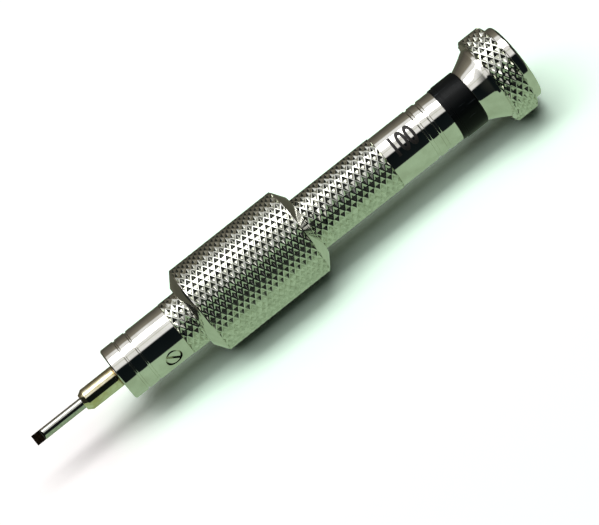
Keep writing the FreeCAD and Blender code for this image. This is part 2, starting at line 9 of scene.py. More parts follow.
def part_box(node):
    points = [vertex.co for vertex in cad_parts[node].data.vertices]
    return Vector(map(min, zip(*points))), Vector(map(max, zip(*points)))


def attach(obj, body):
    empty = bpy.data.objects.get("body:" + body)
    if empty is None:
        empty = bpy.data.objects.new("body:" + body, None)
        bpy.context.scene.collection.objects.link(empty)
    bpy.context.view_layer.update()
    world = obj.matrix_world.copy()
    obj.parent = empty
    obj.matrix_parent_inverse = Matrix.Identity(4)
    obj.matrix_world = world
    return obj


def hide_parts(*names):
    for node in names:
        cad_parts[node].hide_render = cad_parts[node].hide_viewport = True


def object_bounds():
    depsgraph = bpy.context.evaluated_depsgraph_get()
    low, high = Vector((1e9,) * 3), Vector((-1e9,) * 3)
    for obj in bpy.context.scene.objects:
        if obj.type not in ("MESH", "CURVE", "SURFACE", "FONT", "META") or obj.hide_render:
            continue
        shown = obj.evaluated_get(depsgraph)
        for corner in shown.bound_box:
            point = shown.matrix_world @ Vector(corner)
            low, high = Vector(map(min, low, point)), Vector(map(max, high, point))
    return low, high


# A preset torque screwdriver lying on a pale table, under a long soft light overhead.
# Stations are millimetres along the tool's axis from the blade's tip; radii are millimetres too.

MM = 0.001
AXIS_ROUND = 192  # faces round a large turned piece
SMALL_ROUND = 96
EDGE_ROUND = 0.06  # rounding of the turned edges
SHARP_ANGLE = math.radians(28)

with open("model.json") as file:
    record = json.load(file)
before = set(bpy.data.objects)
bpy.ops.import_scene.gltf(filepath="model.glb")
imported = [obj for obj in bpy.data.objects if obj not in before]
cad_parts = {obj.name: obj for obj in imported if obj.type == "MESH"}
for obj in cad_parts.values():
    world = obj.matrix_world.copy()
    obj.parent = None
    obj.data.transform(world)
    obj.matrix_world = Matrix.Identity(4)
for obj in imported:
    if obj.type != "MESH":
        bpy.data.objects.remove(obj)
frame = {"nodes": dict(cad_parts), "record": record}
LOW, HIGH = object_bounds()
TIP_X = LOW.x
AXIS_Z = (LOW.z + HIGH.z) / 2


def span(node):
    """A CAD node's first station, last station and outer radius, in millimetres."""
    low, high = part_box(node)
    return (low.x - TIP_X) / MM, (high.x - TIP_X) / MM, (high.y - low.y) / 2 / MM


NOSE_FACE, BARREL_END, KNURL_RADIUS = span("barrel")
HOLDER_FRONT, HOLDER_END, HOLDER_RADIUS = span("bit_holder")
RING_FRONT, RING_END, RING_RADIUS = span("identification_ring")
SLEEVE_FRONT, SLEEVE_END, SLEEVE_RADIUS = span("grip_sleeve")
HEAD_FRONT, RIM_END, RIM_RADIUS = span("swivel_head")
CAP_FRONT, CAP_END, CAP_RADIUS = span("end_cap")

BARREL_RADIUS = 5.0
REAR_RADIUS = 4.95
SEAT_RADIUS = 4.5  # under the ring
BARREL_BORE = 3.7
BUSH_BORE = 3.22
SHOULDER = NOSE_FACE + 12.45
KNURL_FRONT = NOSE_FACE + 12.4
KNURL_END = KNURL_FRONT + 44.6
NUMERAL_RADIUS = REAR_RADIUS


# ---------------------------------------------------------------- materials

def linear(hex_colour):
    """An sRGB hex colour as a linear RGBA value."""
    channels = [int(hex_colour[i:i + 2], 16) / 255 for i in (1, 3, 5)]
    return [c / 12.92 if c <= 0.04045 else ((c + 0.055) / 1.055) ** 2.4 for c in channels] + [1.0]


def add(tree, kind, settings=None, **inputs):
    """Adds a node. An input is a value or another node's output; _ in its name stands for a space."""
    node = tree.nodes.new(kind)
    for name, value in (settings or {}).items():
        setattr(node, name, value)
    for name, value in inputs.items():
        key = int(name[1:]) if name[0] == "i" and name[1:].isdigit() else name.replace("_", " ")
        socket = node.inputs[key]
        if isinstance(value, bpy.types.NodeSocket):
            tree.links.new(value, socket)
        else:
            socket.default_value = value
    return node


def new_material(name):
    """An empty material with a Principled shader: returns the material, its tree and the shader."""
    material = bpy.data.materials.new(name)
    material.use_nodes = True
    tree = material.node_tree
    tree.nodes.clear()
    shader = add(tree, "ShaderNodeBsdfPrincipled")
    add(tree, "ShaderNodeOutputMaterial", Surface=shader.outputs[0])
    return material, tree, shader


def stretched_noise(tree, scale, detail=3.0, roughness=0.5, centre=True):
    """Noise on Object coordinates measured from the tool's axis, with its own scale along X, Y and Z."""
    place = add(tree, "ShaderNodeTexCoord").outputs["Object"]
    shift = (0.0, 0.0, -AXIS_Z if centre else 0.0)
    moved = add(tree, "ShaderNodeVectorMath", {"operation": "ADD"}, i0=place, i1=shift)
    scaled = add(tree, "ShaderNodeVectorMath", {"operation": "MULTIPLY"},
                 i0=moved.outputs[0], i1=scale)
    return add(tree, "ShaderNodeTexNoise", Vector=scaled.outputs[0], Scale=1.0,
               Detail=detail, Roughness=roughness).outputs["Fac"]


def ramp(tree, factor, stops):
    """A colour ramp with (place, hex colour) stops."""
    node = add(tree, "ShaderNodeValToRGB", Fac=factor)
    elements = node.color_ramp.elements
    while len(elements) < len(stops):
        elements.new(0.5)
    for element, (place, colour) in zip(elements, stops):
        element.position = place
        element.color = linear(colour)
    return node.outputs["Color"]


def spread(tree, factor, low, high):
    """Maps a 0..1 factor to low..high."""
    return add(tree, "ShaderNodeMapRange", Value=factor, To_Min=low, To_Max=high).outputs[0]


def metal(name, light, dark, rough, lathe_mm, bump, cloud_mm=3.0):
    """A bare or plated metal turned on a lathe: fine rings round the axis and a cloudy polish."""
    material, tree, shader = new_material(name)
    shader.inputs["Metallic"].default_value = 1.0
    clouds = stretched_noise(tree, (1 / (cloud_mm * MM),) * 3, detail=4.0)
    colour = ramp(tree, clouds, [(0.35, dark), (0.65, light)])
    tree.links.new(colour, shader.inputs["Base Color"])
    tree.links.new(spread(tree, clouds, rough[0], rough[1]), shader.inputs["Roughness"])
    rings = stretched_noise(tree, (1 / (lathe_mm * MM), 8.0, 8.0), detail=2.0)
    relief = add(tree, "ShaderNodeBump", Strength=bump, Distance=0.02 * MM, Height=rings)
    tree.links.new(relief.outputs[0], shader.inputs["Normal"])
    return material


def nickel_plate():
    """Bright nickel plate over turned brass: mirror-like, faintly warm, with soft lathe rings."""
    return metal("bright_nickel_plate", "#EFEEE8", "#DEDCD4", (0.03, 0.08), 0.12, 0.08)


def knurled_nickel():
    """Nickel over a rolled knurl: the same plate, greyer and a little rougher in small random clouds."""
    return metal("knurled_nickel_plate", "#EDEEE6", "#CBCDC2", (0.06, 0.14), 0.5, 0.1, 0.8)


def holder_brass():
    """Thinly plated brass: yellow shows through the plate in soft random clouds."""
    return metal("worn_plated_brass", "#F2ECD0", "#D8CB9C", (0.06, 0.14), 0.15, 0.1, 1.5)


def blade_steel():
    """Hardened tool steel, ground along its length; the tip's flat is painted near black, a painted dark
    reflection, and made rougher.
    """
    material, tree, shader = new_material("hardened_tool_steel")
    shader.inputs["Metallic"].default_value = 1.0
    clouds = stretched_noise(tree, (2000.0, 2000.0, 2000.0), detail=4.0)
    steel = ramp(tree, clouds, [(0.35, "#B9B9B2"), (0.65, "#D3D2CA")])
    # The tip's flat is painted near black: a painted dark reflection.
    painted_dark_tip = ramp(tree, clouds, [(0.35, "#171310"), (0.65, "#3A2C20")])
    place = add(tree, "ShaderNodeTexCoord").outputs["Object"]
    along = add(tree, "ShaderNodeSeparateXYZ", Vector=place).outputs["X"]
    flat = add(tree, "ShaderNodeMapRange", Value=along,
               From_Min=station(BLADE_FLAT - 0.15), From_Max=station(BLADE_FLAT + 0.15)).outputs[0]
    colour = add(tree, "ShaderNodeMix", {"data_type": "RGBA"}, i0=flat, i6=painted_dark_tip, i7=steel)
    tree.links.new(colour.outputs[2], shader.inputs["Base Color"])
    rough = add(tree, "ShaderNodeMix", {"data_type": "FLOAT"}, i0=flat, i2=0.42, i3=0.16)
    tree.links.new(rough.outputs[0], shader.inputs["Roughness"])
    grinding = stretched_noise(tree, (150.0, 9000.0, 9000.0), detail=2.0)
    relief = add(tree, "ShaderNodeBump", Strength=0.15, Distance=0.02 * MM, Height=grinding)
    tree.links.new(relief.outputs[0], shader.inputs["Normal"])
    return material


def black_ring():
    """Glossy black moulded ring: deep black with grey streaks along the axis painted in as highlights;
    the same streaks roughen and ridge it.
    """
    material, tree, shader = new_material("glossy_black_plastic")
    shader.inputs["IOR"].default_value = 1.5
    shader.inputs["Specular IOR Level"].default_value = 0.12
    highlight_streaks = stretched_noise(tree, (160.0, 3600.0, 3600.0), detail=3.0, roughness=0.7)
    # The grey streaks in the colour are painted highlights; the same noise also sets roughness and bump.
    colour = ramp(tree, highlight_streaks, [(0.62, "#0A0D0E"), (0.78, "#4A5054")])
    tree.links.new(colour, shader.inputs["Base Color"])
    tree.links.new(spread(tree, highlight_streaks, 0.2, 0.5), shader.inputs["Roughness"])
    relief = add(tree, "ShaderNodeBump", Strength=0.25, Distance=0.03 * MM, Height=highlight_streaks)
    tree.links.new(relief.outputs[0], shader.inputs["Normal"])
    return material


def numeral_paint():
    """Black filling paint in the numerals: matt, a little uneven, and dull beside the plate."""
    material, tree, shader = new_material("black_filling_paint")
    grain = stretched_noise(tree, (4000.0, 4000.0, 4000.0), detail=4.0)
    colour = ramp(tree, grain, [(0.4, "#0C0A09"), (0.75, "#2A211B")])
    tree.links.new(colour, shader.inputs["Base Color"])
    tree.links.new(spread(tree, grain, 0.4, 0.7), shader.inputs["Roughness"])
    return material


def friction_lining():
    """Woven friction lining: dark, fibrous and quite matt."""
    material, tree, shader = new_material("friction_lining")
    fibres = stretched_noise(tree, (5000.0, 1500.0, 1500.0), detail=5.0, roughness=0.7)
    colour = ramp(tree, fibres, [(0.35, "#2C2621"), (0.65, "#5A4B3C")])
    tree.links.new(colour, shader.inputs["Base Color"])
    tree.links.new(spread(tree, fibres, 0.75, 0.95), shader.inputs["Roughness"])
    return material


# ---------------------------------------------------------------- shapes

def station(distance):
    """X in metres of a station in millimetres."""
    return TIP_X + distance * MM


def rounded(outline, radius):
    """The closed outline with each sharp corner cut to a small arc of three points."""
    made = []
    count = len(outline)
    for i, corner in enumerate(outline):
        here = Vector(corner)
        before = Vector(outline[i - 1]) - here
        after = Vector(outline[(i + 1) % count]) - here
        reach = min(radius, before.length / 3, after.length / 3)
        if here.y < 0.01 or abs(before.angle(after) - math.pi) < math.radians(12):
            made.append(here)
            continue
        first = here + before.normalized() * reach
        last = here + after.normalized() * reach
        made += [first, (first + last) / 4 + here / 2, last]
    return made


def turned(name, outline, around=AXIS_ROUND, edge=EDGE_ROUND):
    """A closed outline of (station, radius) points turned round the axis."""
    points = rounded(outline, edge)
    shape = bmesh.new()
    rings = []
    for point in points:
        if point.y < 1e-6:
            ring = [shape.verts.new((station(point.x), 0, AXIS_Z))] * around
        else:
            turns = [2 * math.pi * k / around for k in range(around)]
            ring = [shape.verts.new((station(point.x), point.y * MM * math.sin(t),
                                     AXIS_Z + point.y * MM * math.cos(t))) for t in turns]
        rings.append(ring)
    for i, ring in enumerate(rings):
        other = rings[i - 1]
        for k in range(around):
            corners = [ring[k], ring[(k + 1) % around], other[(k + 1) % around], other[k]]
            unique = list(dict.fromkeys(corners))
            if len(unique) > 2:
                shape.faces.new(unique)
    bmesh.ops.recalc_face_normals(shape, faces=shape.faces)
    return finished(name, shape)


def finished(name, shape):
    """Turns a bmesh into an object with smooth faces and sharp edges."""
    mesh = bpy.data.meshes.new(name)
    shape.to_mesh(mesh)
    shape.free()
    mesh.shade_smooth()
    mesh.set_sharp_from_angle(angle=SHARP_ANGLE)
    piece = bpy.data.objects.new(name, mesh)
    bpy.context.scene.collection.objects.link(piece)
    return piece


def baked(piece):
    """Puts the result of the piece's modifiers in a plain mesh and removes them."""
    graph = bpy.context.evaluated_depsgraph_get()
    mesh = bpy.data.meshes.new_from_object(piece.evaluated_get(graph))
    piece.modifiers.clear()
    piece.data = mesh
    mesh.name = piece.name
    return piece


def cut(piece, tool):
    """Cuts the tool's shape out of the piece and deletes the tool."""
    modifier = piece.modifiers.new("cut", "BOOLEAN")
    modifier.operation = "DIFFERENCE"
    modifier.solver = "EXACT"
    modifier.object = tool
    baked(piece)
    piece.data.shade_smooth()
    piece.data.set_sharp_from_angle(angle=SHARP_ANGLE)
    bpy.data.objects.remove(tool)
    return piece


def peg(name, distance, turn, radius, low, high, around=SMALL_ROUND):
    """A round peg that stands out from the axis, turned from the top to the front."""
    shape = bmesh.new()
    bmesh.ops.create_cone(shape, cap_ends=True, segments=around, radius1=radius * MM,
                          radius2=radius * MM, depth=(high - low) * MM)
    bmesh.ops.translate(shape, verts=shape.verts, vec=(0, 0, (high + low) / 2 * MM))
    swing = Matrix.Rotation(math.radians(turn), 4, "X")
    move = Matrix.Translation((station(distance), 0, AXIS_Z))
    bmesh.ops.transform(shape, matrix=move @ swing, verts=shape.verts)
    return finished(name, shape)


# ---------------------------------------------------------------- knurling

def knurl_tree():
    """A band of diamond knurling: closed cells side by side round the axis, each with a sunk pit.

    The cells are laid out flat, X along the tool and Y round it, and are then wrapped about the axis.
    """
    tree = bpy.data.node_groups.new("diamond_knurl", "GeometryNodeTree")
    tree.interface.new_socket("Geometry", in_out="INPUT", socket_type="NodeSocketGeometry")
    for name in ("Front", "End", "Root radius", "Depth", "Pitch", "End slope", "Pit share",
                 "Floor share", "Axis height"):
        tree.interface.new_socket(name, in_out="INPUT", socket_type="NodeSocketFloat")
    for name in ("Around", "Rows"):
        tree.interface.new_socket(name, in_out="INPUT", socket_type="NodeSocketInt")
    tree.interface.new_socket("Finish", in_out="INPUT", socket_type="NodeSocketMaterial")
    tree.interface.new_socket("Geometry", in_out="OUTPUT", socket_type="NodeSocketGeometry")
    given = tree.nodes.new("NodeGroupInput").outputs

    def calculate(operation, first, second=0.0):
        return add(tree, "ShaderNodeMath", {"operation": operation}, i0=first, i1=second).outputs[0]

    def vector(x, y, z):
        return add(tree, "ShaderNodeCombineXYZ", X=x, Y=y, Z=z).outputs[0]

    def drawn(mesh, selection, distance, share):
        """Pulls the selected face up by a distance and shrinks it to a share of its size."""
        pulled = add(tree, "GeometryNodeExtrudeMesh", {"mode": "FACES"}, Mesh=mesh,
                     Selection=selection, Offset=(0.0, 0.0, 1.0), Offset_Scale=distance,
                     Individual=False).outputs
        return add(tree, "GeometryNodeScaleElements", {"domain": "FACE"}, Geometry=pulled["Mesh"],
                   Selection=pulled["Top"], Scale=share).outputs[0], pulled["Top"]

    base = add(tree, "GeometryNodeMeshCircle", {"fill_type": "NGON"}, Vertices=4,
               Radius=1.0).outputs[0]
    block, top = drawn(base, True, given["Depth"], 1.0)
    rimmed, inner = drawn(block, top, 0.0, given["Pit share"])
    sunk, _ = drawn(rimmed, inner, calculate("MULTIPLY", given["Depth"], -PIT_DEPTH_SHARE),
                    given["Floor share"])
    underside = add(tree, "GeometryNodeFlipFaces", Mesh=base).outputs[0]
    cell = tree.nodes.new("GeometryNodeJoinGeometry")
    tree.links.new(sunk, cell.inputs[0])
    tree.links.new(underside, cell.inputs[0])
    closed = add(tree, "GeometryNodeMergeByDistance", Geometry=cell.outputs[0], Distance=1e-7)

    turn = calculate("DIVIDE", 2 * math.pi, given["Around"])
    width = calculate("MULTIPLY", given["Root radius"], turn)
    half_pitch = calculate("MULTIPLY", given["Pitch"], 0.5)
    sized = add(tree, "GeometryNodeTransform", Geometry=closed.outputs[0],
                Scale=vector(half_pitch, calculate("MULTIPLY", width, 0.5), 1.0))
    index = add(tree, "GeometryNodeInputIndex").outputs[0]
    row = calculate("FLOOR", calculate("DIVIDE", calculate("ADD", index, 0.5), given["Around"]))
    place = calculate("SUBTRACT", index, calculate("MULTIPLY", row, given["Around"]))
    stagger = calculate("MULTIPLY", calculate("MODULO", row, 2.0), 0.5)
    along = calculate("ADD", given["Front"], calculate("MULTIPLY", row, half_pitch))
    across = calculate("MULTIPLY", calculate("ADD", place, stagger), width)
    points = add(tree, "GeometryNodePoints", Position=vector(along, across, 0.0),
                 Count=calculate("MULTIPLY", given["Rows"], given["Around"]))
    cells = add(tree, "GeometryNodeInstanceOnPoints", Points=points.outputs[0],
                Instance=sized.outputs[0])
    real = add(tree, "GeometryNodeRealizeInstances", Geometry=cells.outputs[0])

    parts = add(tree, "ShaderNodeSeparateXYZ",
                Vector=add(tree, "GeometryNodeInputPosition").outputs[0]).outputs
    angle = calculate("DIVIDE", parts["Y"], given["Root radius"])
    radius = calculate("ADD", given["Root radius"], parts["Z"])
    below_crest = calculate("SUBTRACT", given["Depth"], parts["Z"])
    run = calculate("MULTIPLY", below_crest, given["End slope"])
    held = calculate("MAXIMUM", parts["X"], calculate("SUBTRACT", given["Front"], run))
    held = calculate("MINIMUM", held, calculate("ADD", given["End"], run))
    side = calculate("MULTIPLY", radius, calculate("SINE", angle))
    height = calculate("ADD", given["Axis height"],
                       calculate("MULTIPLY", radius, calculate("COSINE", angle)))
    wrapped = add(tree, "GeometryNodeSetPosition", Geometry=real.outputs[0],
                  Position=vector(held, side, height))
    flat = add(tree, "GeometryNodeSetShadeSmooth", Geometry=wrapped.outputs[0], Shade_Smooth=False)
    coated = add(tree, "GeometryNodeSetMaterial", Geometry=flat.outputs[0],
                 Material=given["Finish"])
    joined = tree.nodes.new("GeometryNodeJoinGeometry")
    tree.links.new(given["Geometry"], joined.inputs[0])
    tree.links.new(coated.outputs[0], joined.inputs[0])
    result = tree.nodes.new("NodeGroupOutput")
    tree.links.new(joined.outputs[0], result.inputs[0])
    return tree


def knurl(piece, tree, finish, front, end, crest, depth, pitch, around, slope):
    """Adds a band of diamond knurling between two stations and bakes it into the piece's mesh."""
    rows = round((end - front) / (pitch / 2))
    modifier = piece.modifiers.new("knurl", "NODES")
    modifier.node_group = tree
    sizes = {
        "Front": station(front), "End": station(end), "Root radius": (crest - depth) * MM,
        "Depth": depth * MM, "Pitch": 2 * (end - front) / rows * MM, "End slope": slope,
        "Pit share": PIT_SHARE, "Floor share": PIT_FLOOR_SHARE, "Axis height": AXIS_Z,
        "Around": around, "Rows": rows + 1, "Finish": finish,
    }
    for socket in tree.interface.items_tree:
        if socket.in_out == "INPUT" and socket.name in sizes:
            modifier[socket.identifier] = sizes[socket.name]
    return baked(piece)


# ---------------------------------------------------------------- pieces

SEAM = 0.02  # how far a knurl's cells sink into the core, and the ring's gap to its seat

BLADE_FLAT = 1.7
BLADE_BORE = 1.01  # radius of the hole for the blade
SCREW_STATION = KNURL_FRONT - 3.25
SCREW_TURN = 94.0  # degrees from the top to the front
SCREW_SLOT_TURN = 47.0
SCREW_RADIUS = 1.42
SCREW_SUNK = 0.2  # below the barrel's crown
NOSE_GROOVES = (2.6, 4.95)  # behind the nose face
NOSE_GROOVE_WIDTH = 0.5
REAR_GROOVES = (5.3, 3.3)  # in front of the ring
REAR_GROOVE_WIDTH = 0.7
GROOVE_DEPTH = 0.2

KNURL_DEPTH = 0.32
PIT_SHARE = 0.84  # of a cell's width
PIT_FLOOR_SHARE = 0.15  # of the pit's mouth
PIT_DEPTH_SHARE = 0.9  # of the knurl's depth
KNURL_PITCH = 1.237
KNURL_AROUND = 15
SLEEVE_PITCH = 1.185
SLEEVE_AROUND = 25
RIM_PITCH = 1.3
RIM_AROUND = 24
RIM_KNURL_DEPTH = 0.4

SPIGOT_RADIUS = 4.69  # of the end cap
HEAD_BORE = 4.7  # that takes the spigot
JOURNAL_BORE = 2.53  # that turns on the end plug


def groove(front, width, radius):
    """The outline points of a round-bottomed turned groove."""
    steps = 8
    points = []
    for i in range(steps + 1):
        turn = math.pi * i / steps
        points.append((front + width * (1 - math.cos(turn)) / 2,
                       radius - GROOVE_DEPTH * math.sin(turn)))
    return points


def make_barrel(tree, plate, knurled_plate):
    """The nickel-plated barrel: smooth nose, knurled waist, smooth rear and the ring's seat."""
    root = KNURL_RADIUS - KNURL_DEPTH
    end_slope = 0.5
    bevel = 0.25
    runout = 0.1
    outline = [(NOSE_FACE, BARREL_RADIUS - bevel), (NOSE_FACE + bevel, BARREL_RADIUS)]
    for behind in NOSE_GROOVES:
        outline += groove(NOSE_FACE + behind, NOSE_GROOVE_WIDTH, BARREL_RADIUS)
    outline += [
        (KNURL_FRONT - runout, BARREL_RADIUS),
        (KNURL_FRONT, root + SEAM),
        (KNURL_END, root + SEAM),
        (KNURL_END + runout, REAR_RADIUS),
    ]
    for before in REAR_GROOVES:
        outline += groove(RING_FRONT - before, REAR_GROOVE_WIDTH, REAR_RADIUS)
    outline += [
        (RING_FRONT, REAR_RADIUS),
        (RING_FRONT, SEAT_RADIUS),
        (BARREL_END, SEAT_RADIUS),
        (BARREL_END, BARREL_BORE),
        (SHOULDER, BARREL_BORE),
        (SHOULDER, BUSH_BORE),
        (NOSE_FACE, BUSH_BORE),
    ]
    barrel = turned("barrel_turned", outline)
    gap = 0.14
    below, above = 2.5, 6.0
    cut(barrel, peg("screw_hole", SCREW_STATION, SCREW_TURN, SCREW_RADIUS + gap, below, above))
    barrel.data.materials.append(plate)
    knurl(barrel, tree, knurled_plate, KNURL_FRONT, KNURL_END, KNURL_RADIUS, KNURL_DEPTH,
          KNURL_PITCH, KNURL_AROUND, end_slope)
    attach(barrel, "barrel")
    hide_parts("barrel")


def make_grip_sleeve(tree, plate, knurled_plate):
    """The grip sleeve: long bevelled ends, diamond knurl between, pressed on the barrel."""
    chamfer = 1.7
    face = 5.9
    clearance = 0.005
    bore = KNURL_RADIUS + clearance
    slope = chamfer / (SLEEVE_RADIUS - face)
    root = SLEEVE_RADIUS - KNURL_DEPTH
    run = slope * KNURL_DEPTH
    front = SLEEVE_FRONT + chamfer
    end = SLEEVE_END - chamfer
    sleeve = turned("grip_sleeve_turned", [
        (SLEEVE_FRONT, face),
        (front - run, root + SEAM),
        (end + run, root + SEAM),
        (SLEEVE_END, face),
        (SLEEVE_END, bore),
        (SLEEVE_FRONT, bore),
    ])
    sleeve.data.materials.append(plate)
    knurl(sleeve, tree, knurled_plate, front, end, SLEEVE_RADIUS, KNURL_DEPTH,
          SLEEVE_PITCH, SLEEVE_AROUND, slope)
    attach(sleeve, "barrel")
    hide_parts("grip_sleeve")


def make_ring(plastic):
    """The black ring that marks the setting: a shallow step at its front edge."""
    step_depth = 0.12
    step_end = RING_FRONT + 0.9
    bore = SEAT_RADIUS + SEAM
    ring = turned("identification_ring_moulded", [
        (RING_FRONT, RING_RADIUS - step_depth),
        (step_end, RING_RADIUS - step_depth),
        (step_end, RING_RADIUS),
        (RING_END, RING_RADIUS),
        (RING_END, bore),
        (RING_FRONT, bore),
    ])
    ring.data.materials.append(plastic)
    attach(ring, "barrel")
    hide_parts("identification_ring")


def make_head(tree, plate, knurled_plate):
    """The swivel head: a turned flare, a short land and a coarsely knurled rim."""
    flare_length = 3.5
    flare_end = HEAD_FRONT + flare_length
    rim_front = flare_end + 0.5
    socket_floor = HEAD_FRONT + 4.4
    land = 6.85
    front_radius = 4.95
    chamfer = 0.4
    relief = 0.1
    knurl_inset = 0.25
    root = RIM_RADIUS - RIM_KNURL_DEPTH
    steps = 8
    sag = 0.08
    flare = []
    for i in range(steps + 1):
        share = i / steps
        bow = sag * math.sin(math.pi * share)
        flare.append((HEAD_FRONT + flare_length * share,
                      front_radius + (land - front_radius) * share - bow))
    head = turned("swivel_head_turned", flare + [
        (rim_front, land),
        (rim_front, RIM_RADIUS - chamfer),
        (rim_front, root - relief),
        (rim_front, root + SEAM),
        (RIM_END - relief, root + SEAM),
        (RIM_END, root - relief),
        (RIM_END, HEAD_BORE),
        (socket_floor, HEAD_BORE),
        (socket_floor, JOURNAL_BORE),
        (HEAD_FRONT, JOURNAL_BORE),
    ])
    head.data.materials.append(plate)
    knurl(head, tree, knurled_plate, rim_front + knurl_inset, RIM_END - chamfer, RIM_RADIUS,
          RIM_KNURL_DEPTH, RIM_PITCH, RIM_AROUND, 1.0)
    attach(head, "head")
    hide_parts("swivel_head")


def make_cap(plate):
    """The end cap: a plain polished disc with a spigot that pushes into the head."""
    disc_front = CAP_END - 1.6
    rounding = [(0.5, 0.0), (0.35, 0.04), (0.15, 0.15), (0.04, 0.35), (0.0, 0.5)]
    edge = [(CAP_END - inward, CAP_RADIUS - down) for inward, down in rounding]
    cap = turned("end_cap_turned", [
        (CAP_FRONT, 0),
        (CAP_FRONT, SPIGOT_RADIUS),
        (disc_front, SPIGOT_RADIUS),
        (disc_front, CAP_RADIUS),
    ] + edge + [(CAP_END, 0)])
    cap.data.materials.append(plate)
    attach(cap, "head")
    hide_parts("end_cap")


def make_holder(brass):
    """The bit holder: a plain round shank with a bevelled mouth, bored for the blade."""
    mouth_radius = 1.45
    bevel_end = HOLDER_FRONT + 0.9
    blade_end = HOLDER_FRONT + 4.2
    rear_bore = 1.2
    holder = turned("bit_holder_turned", [
        (HOLDER_FRONT, BLADE_BORE),
        (HOLDER_FRONT, mouth_radius),
        (bevel_end, HOLDER_RADIUS),
        (HOLDER_END, HOLDER_RADIUS),
        (HOLDER_END, rear_bore),
        (blade_end, rear_bore),
        (blade_end, BLADE_BORE),
    ], SMALL_ROUND)
    holder.data.materials.append(brass)
    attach(holder, "spindle")
    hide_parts("bit_holder")


def make_nose_screw(plate):
    """The slotted screw that holds the bush: a flat head with a bevelled rim, set below the crown."""
    top = BARREL_RADIUS - SCREW_SUNK
    bottom = top - 2.0
    bevel = 0.2
    slot_size = (0.46 * MM, 4 * MM, 2.4 * MM)
    shape = bmesh.new()
    rings = [(0.62, bottom), (SCREW_RADIUS, bottom), (SCREW_RADIUS, top - bevel),
             (SCREW_RADIUS - bevel, top)]
    loops = []
    for radius, height in rings:
        turns = [2 * math.pi * k / SMALL_ROUND for k in range(SMALL_ROUND)]
        loops.append([shape.verts.new((radius * MM * math.cos(t), radius * MM * math.sin(t),
                                       height * MM)) for t in turns])
    for lower, upper in zip(loops, loops[1:]):
        for k in range(SMALL_ROUND):
            following = (k + 1) % SMALL_ROUND
            shape.faces.new([lower[k], lower[following], upper[following], upper[k]])
    shape.faces.new(loops[0])
    shape.faces.new(loops[-1])
    bmesh.ops.recalc_face_normals(shape, faces=shape.faces)
    swing = Matrix.Rotation(math.radians(SCREW_TURN), 4, "X")
    move = Matrix.Translation((station(SCREW_STATION), 0, AXIS_Z))
    bmesh.ops.transform(shape, matrix=move @ swing, verts=shape.verts)
    screw = finished("nose_screw_slotted", shape)
    slot = bmesh.new()
    bmesh.ops.create_cube(slot, size=1.0)
    bmesh.ops.scale(slot, vec=slot_size, verts=slot.verts)
    turn = Matrix.Rotation(math.radians(SCREW_SLOT_TURN), 4, "Z")
    lift = Matrix.Translation((0, 0, top * MM))
    bmesh.ops.transform(slot, matrix=move @ swing @ lift @ turn, verts=slot.verts)
    cut(screw, finished("slot_tool", slot))
    screw.data.materials.append(plate)
    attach(screw, "barrel")
    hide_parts("nose_screw")


def make_numerals(paint):
    """The black 100, read from the blade to the head, its strokes bent round the barrel."""
    height = 4.0
    width = 4.5
    middle = 79.0
    turn = 33.5
    proud = 0.012  # the paint stands a hair above the plate, so that it covers it
    sunk = 0.1
    curve = bpy.data.curves.new("size_numerals", "FONT")
    curve.body = "100"
    curve.align_x = "CENTER"
    curve.align_y = "CENTER"
    curve.extrude = 0.5
    curve.offset = 0.03
    text = bpy.data.objects.new("size_numerals", curve)
    bpy.context.scene.collection.objects.link(text)
    graph = bpy.context.evaluated_depsgraph_get()
    graph.update()
    mesh = bpy.data.meshes.new_from_object(text.evaluated_get(graph))
    bpy.data.objects.remove(text)
    shape = bmesh.new()
    shape.from_mesh(mesh)
    bmesh.ops.remove_doubles(shape, verts=shape.verts, dist=1e-5)
    low = [min(v.co[i] for v in shape.verts) for i in range(2)]
    high = [max(v.co[i] for v in shape.verts) for i in range(2)]
    bands = 24
    for i in range(1, bands):
        line = low[1] + (high[1] - low[1]) * i / bands
        bmesh.ops.bisect_plane(shape, geom=shape.verts[:] + shape.edges[:] + shape.faces[:],
                               plane_co=(0, line, 0), plane_no=(0, 1, 0))
    for v in shape.verts:
        across = (v.co.x - (low[0] + high[0]) / 2) / (high[0] - low[0]) * width
        up = (v.co.y - (low[1] + high[1]) / 2) / (high[1] - low[1]) * height
        angle = math.radians(turn) - up / NUMERAL_RADIUS
        radius = (NUMERAL_RADIUS + (proud if v.co.z > 0 else -sunk)) * MM
        v.co = (station(middle + across), -radius * math.sin(angle),
                AXIS_Z + radius * math.cos(angle))
    bmesh.ops.recalc_face_normals(shape, faces=shape.faces)
    numerals = finished("size_numerals", shape)
    numerals.data.materials.append(paint)
    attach(numerals, "barrel")


# ---------------------------------------------------------------- stage, light and camera

TABLE_HALF_SIZE = 3.0  # metres, as everything in this section
FLOOR_SEEN = (1.14, 1.42, 1.22, 1.0)  # above 1, so that the open table clips to white
PINK_SHADOW_TINT_BY_BLADE = (1.2, 1.16, 1.16, 1.0)
BLADE_SHADOW_SPAN = (8.0, 26.0)  # stations between which the shadow turns from pink to green
PAINTED_REFLECTION_SPAN = (-0.26, 0.04)  # where the table's painted reflection turns from dark in front to grey-green and then to dark behind
PAINTED_GLOW_SHARE = 0.88  # the share of the table that mirror rays from the camera see as a painted glow instead of lit
WORLD_LEVEL = 0.9
DARK_TOWARD_HEAD = (0.4, 0.5)  # where the overhead light fades out along X, as a direction
DARK_TOWARD_TIP = (-0.74, -0.82)
LAMP_POWER = 4.2  # watts
LAMP_LENGTH = 1.4
LAMP_WIDTH = 0.36
LAMP_BEHIND = 0.16
LAMP_HEIGHT = 0.74


